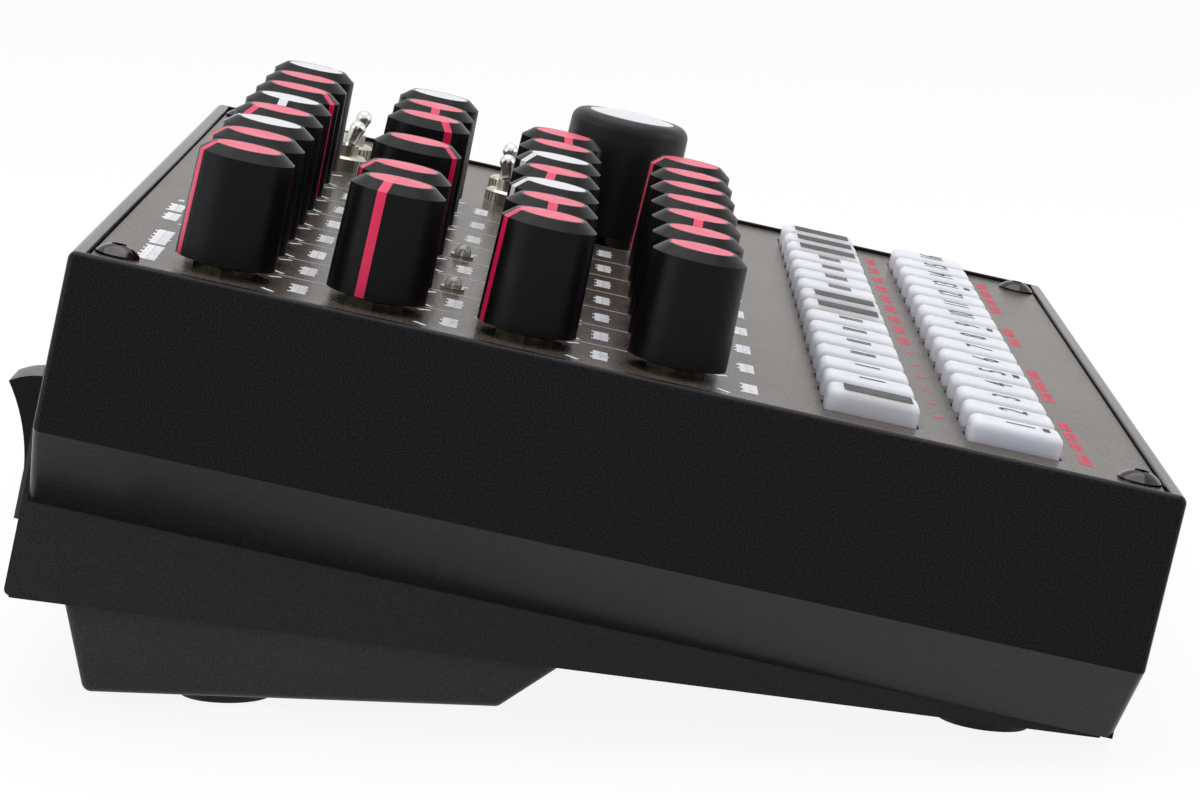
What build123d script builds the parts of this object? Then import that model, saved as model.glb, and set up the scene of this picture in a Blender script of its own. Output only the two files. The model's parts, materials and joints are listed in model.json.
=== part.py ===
"""Desktop drum machine: a folded steel case with a sloping deck of knobs, toggles and step keys.

Every place on the deck is given as (across, back): millimetres from the case's left side, and
millimetres from its rear edge, measured along the deck. Heights are measured along the deck's
normal from the face of the control panel, so that the inside of the case has negative heights.
"""

from build123d import *
from math import asin, atan, cos, radians, sin, sqrt, tan
import os

# ---------------------------------------------------------------- driving dimensions (mm, degrees)

# Case
case_width = 270.0
case_depth = 190.0
deck_tilt = 10.5
sheet = 1.5
rim_rise = 0.8
rim_end = 2.8
rim_side = 1.9
rim_round = 1.4
rim_inner_round = 0.4
side_height = 30.0
bevel_inset = 18.0
bevel_bottom = 45.5
case_flange = 6.0
corner_tab = 16.0

# Front panel, let into the rim
panel_sheet = 1.5
panel_gap = 0.3

# Bottom tray with the upstanding rear wall
tray_sheet = 1.0
tray_side_gap = 1.0
tray_rear_depth = 63.0
tray_front_depth = 46.0
tray_front_setback = 2.0
tray_bend = 1.5
rear_wall_top = 17.0
window_top = 27.0
window_margin = 0.5

# Tilt stand under the rear of the tray
stand_sheet = 1.5
stand_side_gap = 3.0
stand_rear_top = 9.0
stand_rear_bottom = 15.5
stand_front_bottom = 86.0
stand_front_top = 95.6
stand_drop = 77.3
stand_bend = 1.8

# Rubber feet
foot_diameter = 20.0
foot_tip_diameter = 16.0
foot_height = 2.0
rear_foot_inset = 35.0
rear_foot_back = 38.8
front_foot_inset = 32.0
front_foot_setback = 21.0

# Circuit board
board_depth = 11.5
board_sheet = 1.6
board_margin = 7.0

# Knobs
column_first = 19.2
column_pitch = 23.35
row_first = 24.4
row_pitch = 26.1
knob_gap = 2.0
knob_height = 19.8
knob_diameter = 17.2
knob_top_diameter = 16.4
knob_chamfer_in = 2.1
knob_chamfer_down = 1.6
inlay_diameter = 10.9
inlay_depth = 0.7
stripe_width = 1.7

# The large knob, between the two front rows
large_column = 7
large_row = 2.5
large_height = 24.0
large_diameter = 24.8
large_top_diameter = 24.2
large_shoulder = 2.5
large_cap_diameter = 17.4
large_cap_rise = 0.9

# Potentiometers
spindle_diameter = 5.6
spindle_clearance = 0.2
spindle_foot = 4.0
bushing_diameter = 7.0
bushing_stand = 1.7
hole_clearance = 0.1
pot_body = 9.8
pot_body_height = 6.7
pot_floor = 2.5
pot_nut_across = 10.0
pot_nut_height = 1.3

# Toggle switches
toggle_columns = (8, 9)
toggle_rows = (0.31, 1.69)
toggle_body_across = 7.0
toggle_body_back = 12.0
toggle_bushing = 6.0
toggle_bore = 4.6
toggle_bushing_stand = 5.2
toggle_floor = 0.8
toggle_nut_diameter = 10.0
toggle_nut_height = 3.0
toggle_nut_chamfer = 0.5
toggle_pivot = 1.4
toggle_reach = 9.3
toggle_neck = 2.0
toggle_neck_reach = 4.2
toggle_tip = 3.4
toggle_ball = 4.0
toggle_throw = 14.0

# Light-emitting diodes
lamp_columns = (1.75, 3.75)
lamp_row = 1.46
lamp_diameter = 3.2
lamp_stand = 2.4
lamp_flange = 4.4
lamp_flange_height = 0.5
lamp_body = 4.0
lamp_hole = 3.4
spacer_diameter = 4.2

# Step keys
key_count = 16
key_pitch = 15.3
key_width = 9.0
key_length = 16.0
key_setbacks = (53.2, 28.3)
key_height = 3.85
key_body = 3.4
key_corner = 1.6
key_round = 1.4
key_clearance = 0.35
key_travel = 1.5
stem_diameter = 3.0
stem_clearance = 0.3
stem_reach = 0.6
switch_size = 6.2
switch_height = 5.0
switch_well = 2.7

# Rear wall fittings
rear_row = 36.0
rocker_side_gap = 0.45
rocker_width = 12.4
rocker_radius = 11.5
rocker_face = 3.9
rocker_hollow = 1.9
rocker_back = 4.0
rocker_heel = 7.0
rocker_tilt = 15.1
rocker_clearance = 0.35
bezel_border = 0.5
bezel_thickness = 0.9
housing_wall = 1.0
housing_depth = 17.0
trunnion_diameter = 2.4
trunnion_length = 0.6
power_across = 52.0
power_bore = 6.3
power_pin = 2.0
power_depth = 9.0
power_body = 11.0
din_across = (76.0, 100.0)
din_bore = 13.6
din_flange = 18.0
din_flange_height = 1.0
din_depth = 8.0
socket_wall = 0.9
socket_floor = 2.0
jack_across = (132.0, 156.0, 180.0, 204.0)
jack_bore = 6.4
jack_bushing = 9.0
jack_bushing_stand = 3.4
jack_nut_across = 12.0
jack_nut_height = 2.2
jack_body = 14.0
jack_depth = 20.0
fitting_clearance = 0.2

# Screws
panel_screw_across = 12.0
panel_screw_back = 7.0
panel_screw = 4.0
panel_head = 7.6
panel_head_height = 2.1
panel_head_rim = 0.4
panel_socket = 2.5
panel_socket_depth = 1.3
panel_screw_length = 8.0
wall_screw_across = (46.0, 106.0, 164.0, 224.0)
wall_screw_height = 22.3
wall_screw = 3.0
wall_head = 5.6
wall_head_height = 1.6
wall_screw_length = 5.0
screw_clearance = 0.15

# Knobs by name: (column, row, direction its stripe points, seen from above, 0 = right, 90 = rear)
knobs = {
    "knob_a1": (0, 0, 115), "knob_a2": (1, 0, 103), "knob_a3": (2, 0, 90), "knob_a4": (3, 0, 135),
    "knob_a5": (4, 0, 172), "knob_a6": (5, 0, 240), "knob_a7": (6, 0, -25), "knob_a8": (7, 0, -40),
    "knob_b1": (0, 1, 163), "knob_b2": (1, 1, 110), "knob_b4": (3, 1, 240), "knob_b6": (5, 1, 210),
    "knob_b7": (6, 1, 182), "knob_b8": (7, 1, 92),
    "knob_c1": (0, 2, 115), "knob_c2": (1, 2, 180), "knob_c3": (2, 2, 115), "knob_c4": (3, 2, 170),
    "knob_c5": (4, 2, 125), "knob_c6": (5, 2, 50), "knob_c7": (6, 2, 190),
    "knob_d1": (0, 3, 60), "knob_d2": (1, 3, -15), "knob_d3": (2, 3, 180), "knob_d4": (3, 3, 55),
    "knob_d5": (4, 3, 85), "knob_d6": (5, 3, -20), "knob_d7": (6, 3, 110),
}

# ---------------------------------------------------------------- values worked out from them

tilt = radians(deck_tilt)
half_width = case_width / 2
half_depth = case_depth / 2
bevel_fall = bevel_bottom - side_height
flange_bottom = -panel_sheet - sheet
board_top = -board_depth
wall_outer = half_depth + tray_sheet
tray_half = half_width - bevel_inset - tray_side_gap
tray_front = half_depth - tray_front_setback
tray_fall = (tray_rear_depth - tray_front_depth) / (wall_outer + tray_front)
stand_half = tray_half - stand_side_gap
key_first = half_width - (key_count - 1) * key_pitch / 2
rocker_half = rocker_width / 2
rocker_room = rocker_half + rocker_clearance
rocker_room_end = rocker_radius + rocker_clearance
rocker_across = bevel_inset + tray_side_gap + tray_sheet + rocker_side_gap + housing_wall + rocker_room
foot_tip = foot_tip_diameter / 2
front_foot_back = case_depth - front_foot_setback
key_rows = [case_depth - setback for setback in key_setbacks]

# The rear feet stand flat on the ground, so the stand's flat bottom sets the deck's height.
deck_z = foot_height + stand_drop * cos(tilt) - (half_depth - stand_rear_bottom) * sin(tilt)

# The rocker's upper tip and the deck's front edge are the part's two ends.
rocker_edge = sqrt(rocker_radius**2 - rocker_face**2)
rocker_lean = radians(rocker_tilt)
tip_out = wall_outer + rocker_face * cos(rocker_lean) + rocker_edge * sin(rocker_lean)
tip_down = rear_row - rocker_edge * cos(rocker_lean) + rocker_face * sin(rocker_lean)
rear_reach = tip_out * cos(tilt) + tip_down * sin(tilt)
front_reach = half_depth * cos(tilt)
deck_y = (front_reach - rear_reach) / 2

deck = Plane(origin=(0, deck_y, deck_z), x_dir=(1, 0, 0), z_dir=(0, -sin(tilt), cos(tilt)))
section = Plane(origin=deck.origin, x_dir=deck.x_dir, z_dir=-deck.y_dir)


def tray_line(out):
    """Depth of the tray's bottom under the rim, `out` millimetres to the rear of mid-deck."""
    return tray_rear_depth - (wall_outer - out) * tray_fall


def spot(across, back, height=0.0):
    """The world point at a place on the deck."""
    return deck.from_local_coords((across - half_width, half_depth - back, height))


def seat(across, back, height=0.0, turn=0.0):
    """A plane parallel to the deck at a place on it, its x axis turned by `turn` degrees."""
    angle = radians(turn)
    heading = deck.x_dir * cos(angle) + deck.y_dir * sin(angle)
    return Plane(origin=spot(across, back, height), x_dir=heading, z_dir=deck.z_dir)


def upright(base):
    """The plane through a seat's axis, for a profile of radius and height."""
    return Plane(origin=base.origin, x_dir=base.x_dir, z_dir=-base.y_dir)


def side(across):
    """A plane across the case for side views: x runs to the rear, y along the deck's normal."""
    return Plane(origin=deck.from_local_coords((across - half_width, 0, 0)), x_dir=deck.y_dir, z_dir=deck.x_dir)


def rear(across, height, out=0.0):
    """A plane on the rear wall's outer face; x runs across, seen from behind, y along the deck's normal."""
    origin = deck.from_local_coords((across - half_width, wall_outer + out, height))
    return Plane(origin=origin, x_dir=-deck.x_dir, z_dir=deck.y_dir)


def axis_of(base):
    """The axis through a plane's origin along its normal."""
    return Axis(base.origin, base.z_dir)


def column(index):
    """How far across a knob column stands."""
    return column_first + index * column_pitch


def row(index):
    """How far back a knob row stands."""
    return row_first + index * row_pitch


def key_place(index):
    """How far across a step key stands."""
    return key_first + index * key_pitch


def on_deck(across, back):
    """A place on the deck as local coordinates of a sketch on it."""
    return (across - half_width, half_depth - back)


pot_places = [(column(c), row(r)) for c, r, _ in knobs.values()] + [(column(large_column), row(large_row))]
toggle_places = [(column(c), row(r)) for r in toggle_rows for c in toggle_columns]
lamp_places = [(column(c), row(lamp_row)) for c in lamp_columns]
key_places = [(key_place(i), back) for back in key_rows for i in range(key_count)]
panel_screw_places = [
    (across, back)
    for across in (panel_screw_across, case_width - panel_screw_across)
    for back in (panel_screw_back, case_depth - panel_screw_back)
]


def save(solids, name):
    """Label the solids as one node and write it."""
    parts = solids if isinstance(solids, list) else [solids]
    node = parts[0] if len(parts) == 1 else Compound(children=parts)
    node.label = name
    export_step(node, f"parts/{name}.step")


# ---------------------------------------------------------------- case, panel, tray, stand, feet


def case_section(top, inset=0.0):
    """Outline of the case's cross-section up to a height, drawn inside by `inset`."""
    slope = sqrt(bevel_inset**2 + bevel_fall**2)
    shoulder = -side_height + (slope - bevel_fall) / bevel_inset * inset
    wall = half_width - inset
    foot = half_width - bevel_inset - inset * slope / bevel_fall
    with BuildLine() as outline:
        Polyline(
            (-wall, top),
            (wall, top),
            (wall, shoulder),
            (foot, -bevel_bottom),
            (-foot, -bevel_bottom),
            (-wall, shoulder),
            close=True,
        )
    return outline.wires()[0]


def make_top_case():
    """Folded steel shell: four walls, two under-bevels, and the flanges that carry panel and tray."""
    with BuildPart() as hollow:
        with BuildSketch(section):
            make_face(case_section(flange_bottom, sheet))
        extrude(amount=half_depth - sheet, both=True)
    opening_x = half_width - rim_side - case_flange
    opening_y = half_depth - rim_end - case_flange
    tab = corner_tab - case_flange
    with BuildPart() as case:
        with BuildSketch(section):
            make_face(case_section(rim_rise))
        extrude(amount=half_depth, both=True)
        # Bends: the rim, the four upright corners and the ends of the bevels
        up = Axis(deck.origin, deck.z_dir)
        folds = case.faces().sort_by(up)[-1].edges()
        ends = case.faces().sort_by(Axis(deck.origin, deck.y_dir))
        for end in (ends[0], ends[-1]):
            folds += end.edges().sort_by(up)[1:-1]
        fillet(folds, rim_round)
        add(hollow.part, mode=Mode.SUBTRACT)
        # Room for the panel inside the hemmed rim
        with BuildSketch(deck.offset(-panel_sheet)):
            Rectangle(2 * (half_width - rim_side), 2 * (half_depth - rim_end))
        extrude(amount=panel_sheet + rim_rise, mode=Mode.SUBTRACT)
        fillet(case.faces().sort_by(up)[-1].inner_wires()[0].edges(), rim_inner_round)
        # The flange under the panel, with a tab under each panel screw
        with BuildSketch(deck.offset(flange_bottom)):
            Rectangle(2 * opening_x, 2 * opening_y)
            for x in (-1, 1):
                for y in (-1, 1):
                    with Locations((x * (opening_x - tab / 2), y * (opening_y - tab / 2))):
                        Rectangle(tab, tab, mode=Mode.SUBTRACT)
            with Locations(*[on_deck(a, b) for a, b in panel_screw_places]):
                Circle(panel_screw / 2 + screw_clearance)
        extrude(amount=sheet, mode=Mode.SUBTRACT)
        # Bottom flange, front, rear and sides, that the tray closes
        with BuildSketch(deck.offset(-bevel_bottom)):
            Rectangle(2 * (half_width - bevel_inset), case_depth)
            Rectangle(2 * (tray_half - case_flange), case_depth - 4 * case_flange, mode=Mode.SUBTRACT)
        extrude(amount=sheet)
        # Window behind the tray's rear wall, for the rear fittings
        with BuildSketch(rear(half_width, -(window_top + bevel_bottom) / 2, sheet)):
            Rectangle(2 * (tray_half - window_margin), bevel_bottom - window_top + 0.01)
        extrude(amount=-(2 * sheet + housing_depth), mode=Mode.SUBTRACT)
        with BuildSketch(rear(rocker_across, -rear_row)):
            housing_opening()
        extrude(amount=-(tray_sheet + 2 * sheet), mode=Mode.SUBTRACT)
        for across in wall_screw_across:
            with BuildSketch(rear(across, -wall_screw_height)):
                Circle(wall_screw / 2 + screw_clearance)
            extrude(amount=-(tray_sheet + 2 * sheet), mode=Mode.SUBTRACT)
    return case.part


def housing_opening():
    """The rectangle that the power switch's housing passes through."""
    Rectangle(
        2 * (rocker_room + housing_wall + fitting_clearance),
        2 * (rocker_room_end + housing_wall + fitting_clearance),
    )


def make_front_panel():
    """The control panel, a flat sheet let into the rim."""
    half_x = half_width - rim_side - panel_gap
    half_y = half_depth - rim_end - panel_gap
    with BuildPart() as panel:
        with BuildSketch(deck.offset(-panel_sheet)):
            Rectangle(2 * half_x, 2 * half_y)
            with Locations(*[on_deck(a, b) for a, b in pot_places]):
                Circle(bushing_diameter / 2 + hole_clearance, mode=Mode.SUBTRACT)
            with Locations(*[on_deck(a, b) for a, b in toggle_places]):
                Circle(toggle_bushing / 2 + hole_clearance, mode=Mode.SUBTRACT)
            with Locations(*[on_deck(a, b) for a, b in lamp_places]):
                Circle(lamp_hole / 2, mode=Mode.SUBTRACT)
            with Locations(*[on_deck(a, b) for a, b in key_places]):
                Rectangle(key_width + 2 * key_clearance, key_length + 2 * key_clearance, mode=Mode.SUBTRACT)
            with Locations(*[on_deck(a, b) for a, b in panel_screw_places]):
                Circle(panel_screw / 2 + screw_clearance, mode=Mode.SUBTRACT)
        extrude(amount=panel_sheet)
    return panel.part


def tray_blank(front, back):
    """A slice of the tray's outer form, with its bends, between two distances to the rear of mid-deck."""
    fall = tray_fall_angle()
    ahead = deck.z_dir * sin(fall) - deck.y_dir * cos(fall)
    corner = deck.from_local_coords((0, wall_outer, -tray_rear_depth))
    with BuildPart() as blank:
        with BuildSketch(side(half_width)) as profile:
            with BuildLine():
                Polyline(
                    (half_depth, -bevel_bottom),
                    (half_depth, -rear_wall_top),
                    (wall_outer, -rear_wall_top),
                    (wall_outer, -tray_rear_depth),
                    (-tray_front, -tray_front_depth),
                    (-tray_front, -bevel_bottom),
                    close=True,
                )
            make_face()
            fillet(profile.vertices().sort_by(Axis.Y)[0], tray_bend)
            with Locations(((front + back) / 2, 0)):
                Rectangle(back - front, 2 * tray_rear_depth, mode=Mode.INTERSECT)
        extrude(amount=tray_half, both=True)
        # The long bends between the bottom and the two sides
        with BuildSketch(Plane(origin=corner, x_dir=deck.x_dir, z_dir=ahead).offset(-case_depth)):
            with Locations((tray_half, 0), (-tray_half, 0)):
                Rectangle(2 * tray_bend, 2 * tray_bend)
            with Locations((tray_half - tray_bend, tray_bend), (tray_bend - tray_half, tray_bend)):
                Circle(tray_bend, mode=Mode.SUBTRACT)
        extrude(amount=3 * case_depth, mode=Mode.SUBTRACT)
    return blank.part


def make_bottom_tray():
    """Wedge-shaped bottom pan, and the rear plate welded on it that stands up behind the case."""
    with BuildPart() as pan:
        add(tray_blank(-tray_front, half_depth))
        # The pan is open at the top, where the case stands on its edge
        inner_rear = -tray_line(half_depth) + tray_sheet / cos(tray_fall_angle())
        with BuildSketch(side(half_width)):
            with BuildLine():
                Polyline(
                    (half_depth, -bevel_bottom),
                    (half_depth, inner_rear),
                    (half_depth - (-bevel_bottom - inner_rear) / tray_fall, -bevel_bottom),
                    close=True,
                )
            make_face()
        extrude(amount=tray_half - tray_sheet, both=True, mode=Mode.SUBTRACT)
    with BuildPart() as plate:
        add(tray_blank(half_depth, wall_outer))
        # Openings for the rear fittings and screws
        with BuildSketch(rear(rocker_across, -rear_row)):
            housing_opening()
        extrude(amount=-tray_sheet, mode=Mode.SUBTRACT)
        holes = [(power_across, power_bore / 2 + socket_wall)]
        holes += [(a, din_bore / 2 + socket_wall) for a in din_across]
        holes += [(a, jack_bushing / 2) for a in jack_across]
        for across, radius in holes:
            with BuildSketch(rear(across, -rear_row)):
                Circle(radius + fitting_clearance)
            extrude(amount=-tray_sheet, mode=Mode.SUBTRACT)
        for across in wall_screw_across:
            with BuildSketch(rear(across, -wall_screw_height)):
                Circle(wall_screw / 2 + screw_clearance)
            extrude(amount=-tray_sheet, mode=Mode.SUBTRACT)
    return [pan.part, plate.part]


def make_tilt_stand():
    """Folded steel wedge that raises the rear; its flat bottom is level with the ground."""
    rear_out = half_depth - stand_rear_top
    front_out = half_depth - stand_front_top
    low_rear = half_depth - stand_rear_bottom
    low_front = half_depth - stand_front_bottom
    front_drop = stand_drop - (low_rear - low_front) * tan(tilt)
    outline = [
        (rear_out, -tray_line(rear_out)),
        (low_rear, -stand_drop),
        (low_front, -front_drop),
        (front_out, -tray_line(front_out)),
    ]
    with BuildPart() as stand:
        with BuildSketch(side(half_width)):
            with BuildLine():
                Polyline(*outline, close=True)
            make_face()
        extrude(amount=stand_half, both=True)
        seam = stand.faces().sort_by(Axis(deck.origin, deck.z_dir))[-1].edges()
        fillet(stand.edges() - seam, stand_bend)
        with BuildSketch(side(half_width)):
            with BuildLine():
                Polyline(*outline, close=True)
            make_face()
            offset(amount=-stand_sheet, kind=Kind.INTERSECTION)
        extrude(amount=stand_half - stand_sheet, both=True, mode=Mode.SUBTRACT)
    return stand.part


def make_foot(base, height):
    """Tapered rubber foot, standing out of a plane along its normal."""
    with BuildPart() as foot:
        with BuildSketch(base):
            Circle(foot_diameter / 2)
        with BuildSketch(base.offset(height)):
            Circle(foot_tip)
        loft()
    return foot.part


def make_feet():
    """Two feet under the stand and two under the tray's front, all reaching the ground."""
    tray_tilt = tilt - tray_fall_angle()
    rear_out = half_depth - rear_foot_back
    front_out = half_depth - front_foot_back
    drop = stand_drop - (half_depth - stand_rear_bottom - rear_out) * tan(tilt)
    normal = (0, sin(tray_tilt), -cos(tray_tilt))
    feet = []
    for left_or_right in (-1, 1):
        across = left_or_right * (half_width - rear_foot_inset)
        origin = deck.from_local_coords((across, rear_out, -drop))
        feet.append(make_foot(Plane(origin=origin, x_dir=(1, 0, 0), z_dir=(0, 0, -1)), foot_height))
        across = left_or_right * (half_width - front_foot_inset)
        origin = deck.from_local_coords((across, front_out, -tray_line(front_out)))
        height = (origin.Z - foot_tip * sin(tray_tilt)) / cos(tray_tilt)
        feet.append(make_foot(Plane(origin=origin, x_dir=(1, 0, 0), z_dir=normal), height))
    return feet


def tray_fall_angle():
    """Slope of the tray's bottom against the deck, in radians."""
    return atan(tray_fall)


# ---------------------------------------------------------------- knobs and potentiometers


def turned(base, outline):
    """A solid of revolution about a seat's axis from an outline of radius and height."""
    with BuildPart() as solid:
        with BuildSketch(upright(base)):
            with BuildLine():
                Polyline(*outline, close=True)
            make_face()
        revolve(axis=axis_of(base))
    return solid.part


def knob_outline(diameter, top_diameter, height, chamfer_in=0.0, chamfer_down=0.0):
    """Half-section of a knob that is one with the spindle it is pressed on."""
    spindle = spindle_diameter / 2
    top = knob_gap + height
    shoulder = [(top_diameter / 2, top - chamfer_down), (top_diameter / 2 - chamfer_in, top)]
    return [
        (0, board_top + spindle_foot),
        (spindle, board_top + spindle_foot),
        (spindle, knob_gap),
        (diameter / 2, knob_gap),
        *(shoulder if chamfer_in else shoulder[:1]),
        (0, top),
    ]


def make_knob(across, back, direction):
    """Tall pointer knob: a body with its spindle, and the coloured inlay let into its top and side."""
    base = seat(across, back, 0, direction)
    top = knob_gap + knob_height
    shoulder = top - knob_chamfer_down
    rim = knob_top_diameter / 2
    foot = knob_diameter / 2
    flat = rim - knob_chamfer_in
    skin = [
        (0, top),
        (flat, top),
        (rim, shoulder),
        (foot, knob_gap),
        (foot - inlay_depth, knob_gap),
        (rim - inlay_depth, shoulder - inlay_depth / 2),
        (flat - inlay_depth / 2, top - inlay_depth),
        (0, top - inlay_depth),
    ]
    with BuildPart() as inlay:
        add(turned(base, skin))
        with BuildSketch(base.offset(knob_gap)):
            Circle(inlay_diameter / 2)
            Rectangle(knob_diameter, stripe_width, align=(Align.MIN, Align.CENTER))
        extrude(amount=knob_height, mode=Mode.INTERSECT)
    outline = knob_outline(knob_diameter, knob_top_diameter, knob_height, knob_chamfer_in, knob_chamfer_down)
    with BuildPart() as cap:
        add(turned(base, outline))
        add(inlay.part, mode=Mode.SUBTRACT)
    return [cap.part, inlay.part]


def make_large_knob():
    """The wide knob with a domed cap set in its top."""
    base = seat(column(large_column), row(large_row), 0, 90)
    top = knob_gap + large_height
    disc = large_cap_diameter / 2
    with BuildPart() as dome:
        with BuildSketch(upright(base)):
            with BuildLine():
                Polyline((0, top + large_cap_rise), (0, top - inlay_depth), (disc, top - inlay_depth), (disc, top))
                dome_arc(disc, top, large_cap_rise)
            make_face()
        revolve(axis=axis_of(base))
    outline = knob_outline(large_diameter, large_top_diameter, large_height)
    with BuildPart() as cap:
        add(turned(base, outline))
        fillet(cap.edges().group_by(axis_of(base))[-1], large_shoulder)
        with BuildSketch(base.offset(top)):
            Circle(disc)
        extrude(amount=-inlay_depth, mode=Mode.SUBTRACT)
    return [cap.part, dome.part]


def dome_arc(radius, height, rise):
    """Arc of a shallow dome's half-section, from its edge up to the axis."""
    sphere = (radius**2 + rise**2) / (2 * rise)
    half = asin(radius / sphere) / 2
    middle = (sphere * sin(half), height + rise - sphere * (1 - cos(half)))
    ThreePointArc((radius, height), middle, (0, height + rise))


def make_pot(across, back):
    """A board potentiometer: square body, threaded bushing through the panel, and its nut."""
    base = seat(across, back, board_top)
    reach = bushing_stand + board_depth
    with BuildPart() as pot:
        with BuildSketch(base):
            Rectangle(pot_body, pot_body)
        extrude(amount=pot_body_height)
        with BuildSketch(base):
            Circle(bushing_diameter / 2)
        extrude(amount=reach)
        with BuildSketch(base.offset(pot_floor)):
            Circle(spindle_diameter / 2 + spindle_clearance)
        extrude(amount=reach, mode=Mode.SUBTRACT)
    with BuildPart() as nut:
        with BuildSketch(seat(across, back)):
            RegularPolygon(pot_nut_across / 2, 6, major_radius=False)
            Circle(bushing_diameter / 2, mode=Mode.SUBTRACT)
        extrude(amount=pot_nut_height)
    return [pot.part, nut.part]


# ---------------------------------------------------------------- toggle switches


def make_toggle_body(across, back):
    """A miniature toggle switch: body on the board, bushing and round dress nut."""
    base = seat(across, back, board_top)
    reach = board_depth + toggle_bushing_stand
    with BuildPart() as body:
        with BuildSketch(base):
            Rectangle(toggle_body_across, toggle_body_back)
        extrude(amount=pot_body_height)
        with BuildSketch(base):
            Circle(toggle_bushing / 2)
        extrude(amount=reach)
        with BuildSketch(base.offset(pot_body_height + toggle_floor)):
            Circle(toggle_bore / 2)
        extrude(amount=reach, mode=Mode.SUBTRACT)
    with BuildPart() as nut:
        with BuildSketch(seat(across, back)):
            Circle(toggle_nut_diameter / 2)
        extrude(amount=toggle_nut_height)
        chamfer(nut.edges().group_by(axis_of(base))[-1], toggle_nut_chamfer)
        with BuildSketch(seat(across, back)):
            Circle(toggle_bushing / 2)
        extrude(amount=toggle_nut_height, mode=Mode.SUBTRACT)
    return [body.part, nut.part]


def make_lever(across, back, throw):
    """A bat lever on its ball, leaning `throw` degrees to the rear."""
    pivot = spot(across, back, toggle_pivot)
    lean = radians(throw)
    along = deck.z_dir * cos(lean) + deck.y_dir * sin(lean)
    base = Plane(origin=pivot, x_dir=deck.x_dir, z_dir=along)
    with BuildPart() as lever:
        with BuildSketch(upright(base)):
            with BuildLine():
                tip = toggle_tip / 2
                ball = toggle_ball / 2
                neck = toggle_neck / 2
                rise = sqrt(ball**2 - neck**2)
                ThreePointArc((0, -ball), (ball, 0), (neck, rise))
                Polyline((neck, rise), (neck, toggle_neck_reach), (tip, toggle_reach - tip))
                RadiusArc((tip, toggle_reach - tip), (0, toggle_reach), -tip)
                Line((0, toggle_reach), (0, -ball))
            make_face()
        revolve(axis=axis_of(base))
    return lever.part


# ---------------------------------------------------------------- keys, switches, lamps, board


def make_key(across, back):
    """A translucent key cap with its stem."""
    base = seat(across, back, -key_body)
    with BuildPart() as key:
        with BuildSketch(base):
            RectangleRounded(key_width, key_length, key_corner)
        extrude(amount=key_body + key_height)
        fillet(key.faces().sort_by(axis_of(base))[-1].edges(), key_round)
        with BuildSketch(base):
            Circle(stem_diameter / 2)
        extrude(amount=-(board_depth - key_body - switch_height + stem_reach))
    return key.part


def make_switch(across, back):
    """The push switch under a key; the key's stem goes down into its well."""
    base = seat(across, back, board_top)
    with BuildPart() as switch:
        with BuildSketch(base):
            Rectangle(switch_size, switch_size)
        extrude(amount=switch_height)
        with BuildSketch(base.offset(switch_height)):
            Circle(stem_diameter / 2 + stem_clearance)
        extrude(amount=-switch_well, mode=Mode.SUBTRACT)
    return switch.part


def make_lamp(across, back):
    """A clear diode with a domed head over the flange it stands on, and its spacer."""
    radius = lamp_diameter / 2
    base = seat(across, back)
    with BuildPart() as lamp:
        with BuildSketch(upright(base)):
            with BuildLine():
                Polyline(
                    (0, lamp_stand),
                    (0, -lamp_body),
                    (radius, -lamp_body),
                    (radius, 0),
                    (lamp_flange / 2, 0),
                    (lamp_flange / 2, lamp_flange_height),
                    (radius, lamp_flange_height),
                    (radius, lamp_stand - radius),
                )
                dome_arc(radius, lamp_stand - radius, radius)
            make_face()
        revolve(axis=axis_of(base))
    with BuildPart() as spacer:
        with BuildSketch(seat(across, back, board_top)):
            Circle(spacer_diameter / 2)
        extrude(amount=board_depth - lamp_body)
    return [lamp.part, spacer.part]


def make_board():
    """The circuit board under the panel."""
    with BuildPart() as board:
        with BuildSketch(deck.offset(board_top - board_sheet)):
            Rectangle(case_width - 2 * (sheet + board_margin), case_depth - 2 * (sheet + board_margin))
        extrude(amount=board_sheet)
    return board.part


# ---------------------------------------------------------------- rear fittings


def make_rocker_housing():
    """The power switch's bezel and body, open to the rear for the rocker."""
    base = rear(rocker_across, -rear_row)
    open_x = 2 * rocker_room
    open_y = 2 * rocker_room_end
    with BuildPart() as housing:
        with BuildSketch(base):
            Rectangle(open_x + 2 * (housing_wall + bezel_border), open_y + 2 * (housing_wall + bezel_border))
        extrude(amount=bezel_thickness)
        with BuildSketch(base):
            Rectangle(open_x + 2 * housing_wall, open_y + 2 * housing_wall)
        extrude(amount=-housing_depth)
        with BuildSketch(base.offset(bezel_thickness)):
            Rectangle(open_x, open_y)
        extrude(amount=-(bezel_thickness + housing_depth - 2 * housing_wall), mode=Mode.SUBTRACT)
        with BuildSketch(side(rocker_across)):
            with Locations((wall_outer, -rear_row)):
                Circle(trunnion_diameter / 2 + fitting_clearance)
        extrude(amount=rocker_room + trunnion_length + fitting_clearance, both=True, mode=Mode.SUBTRACT)
    return housing.part


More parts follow.
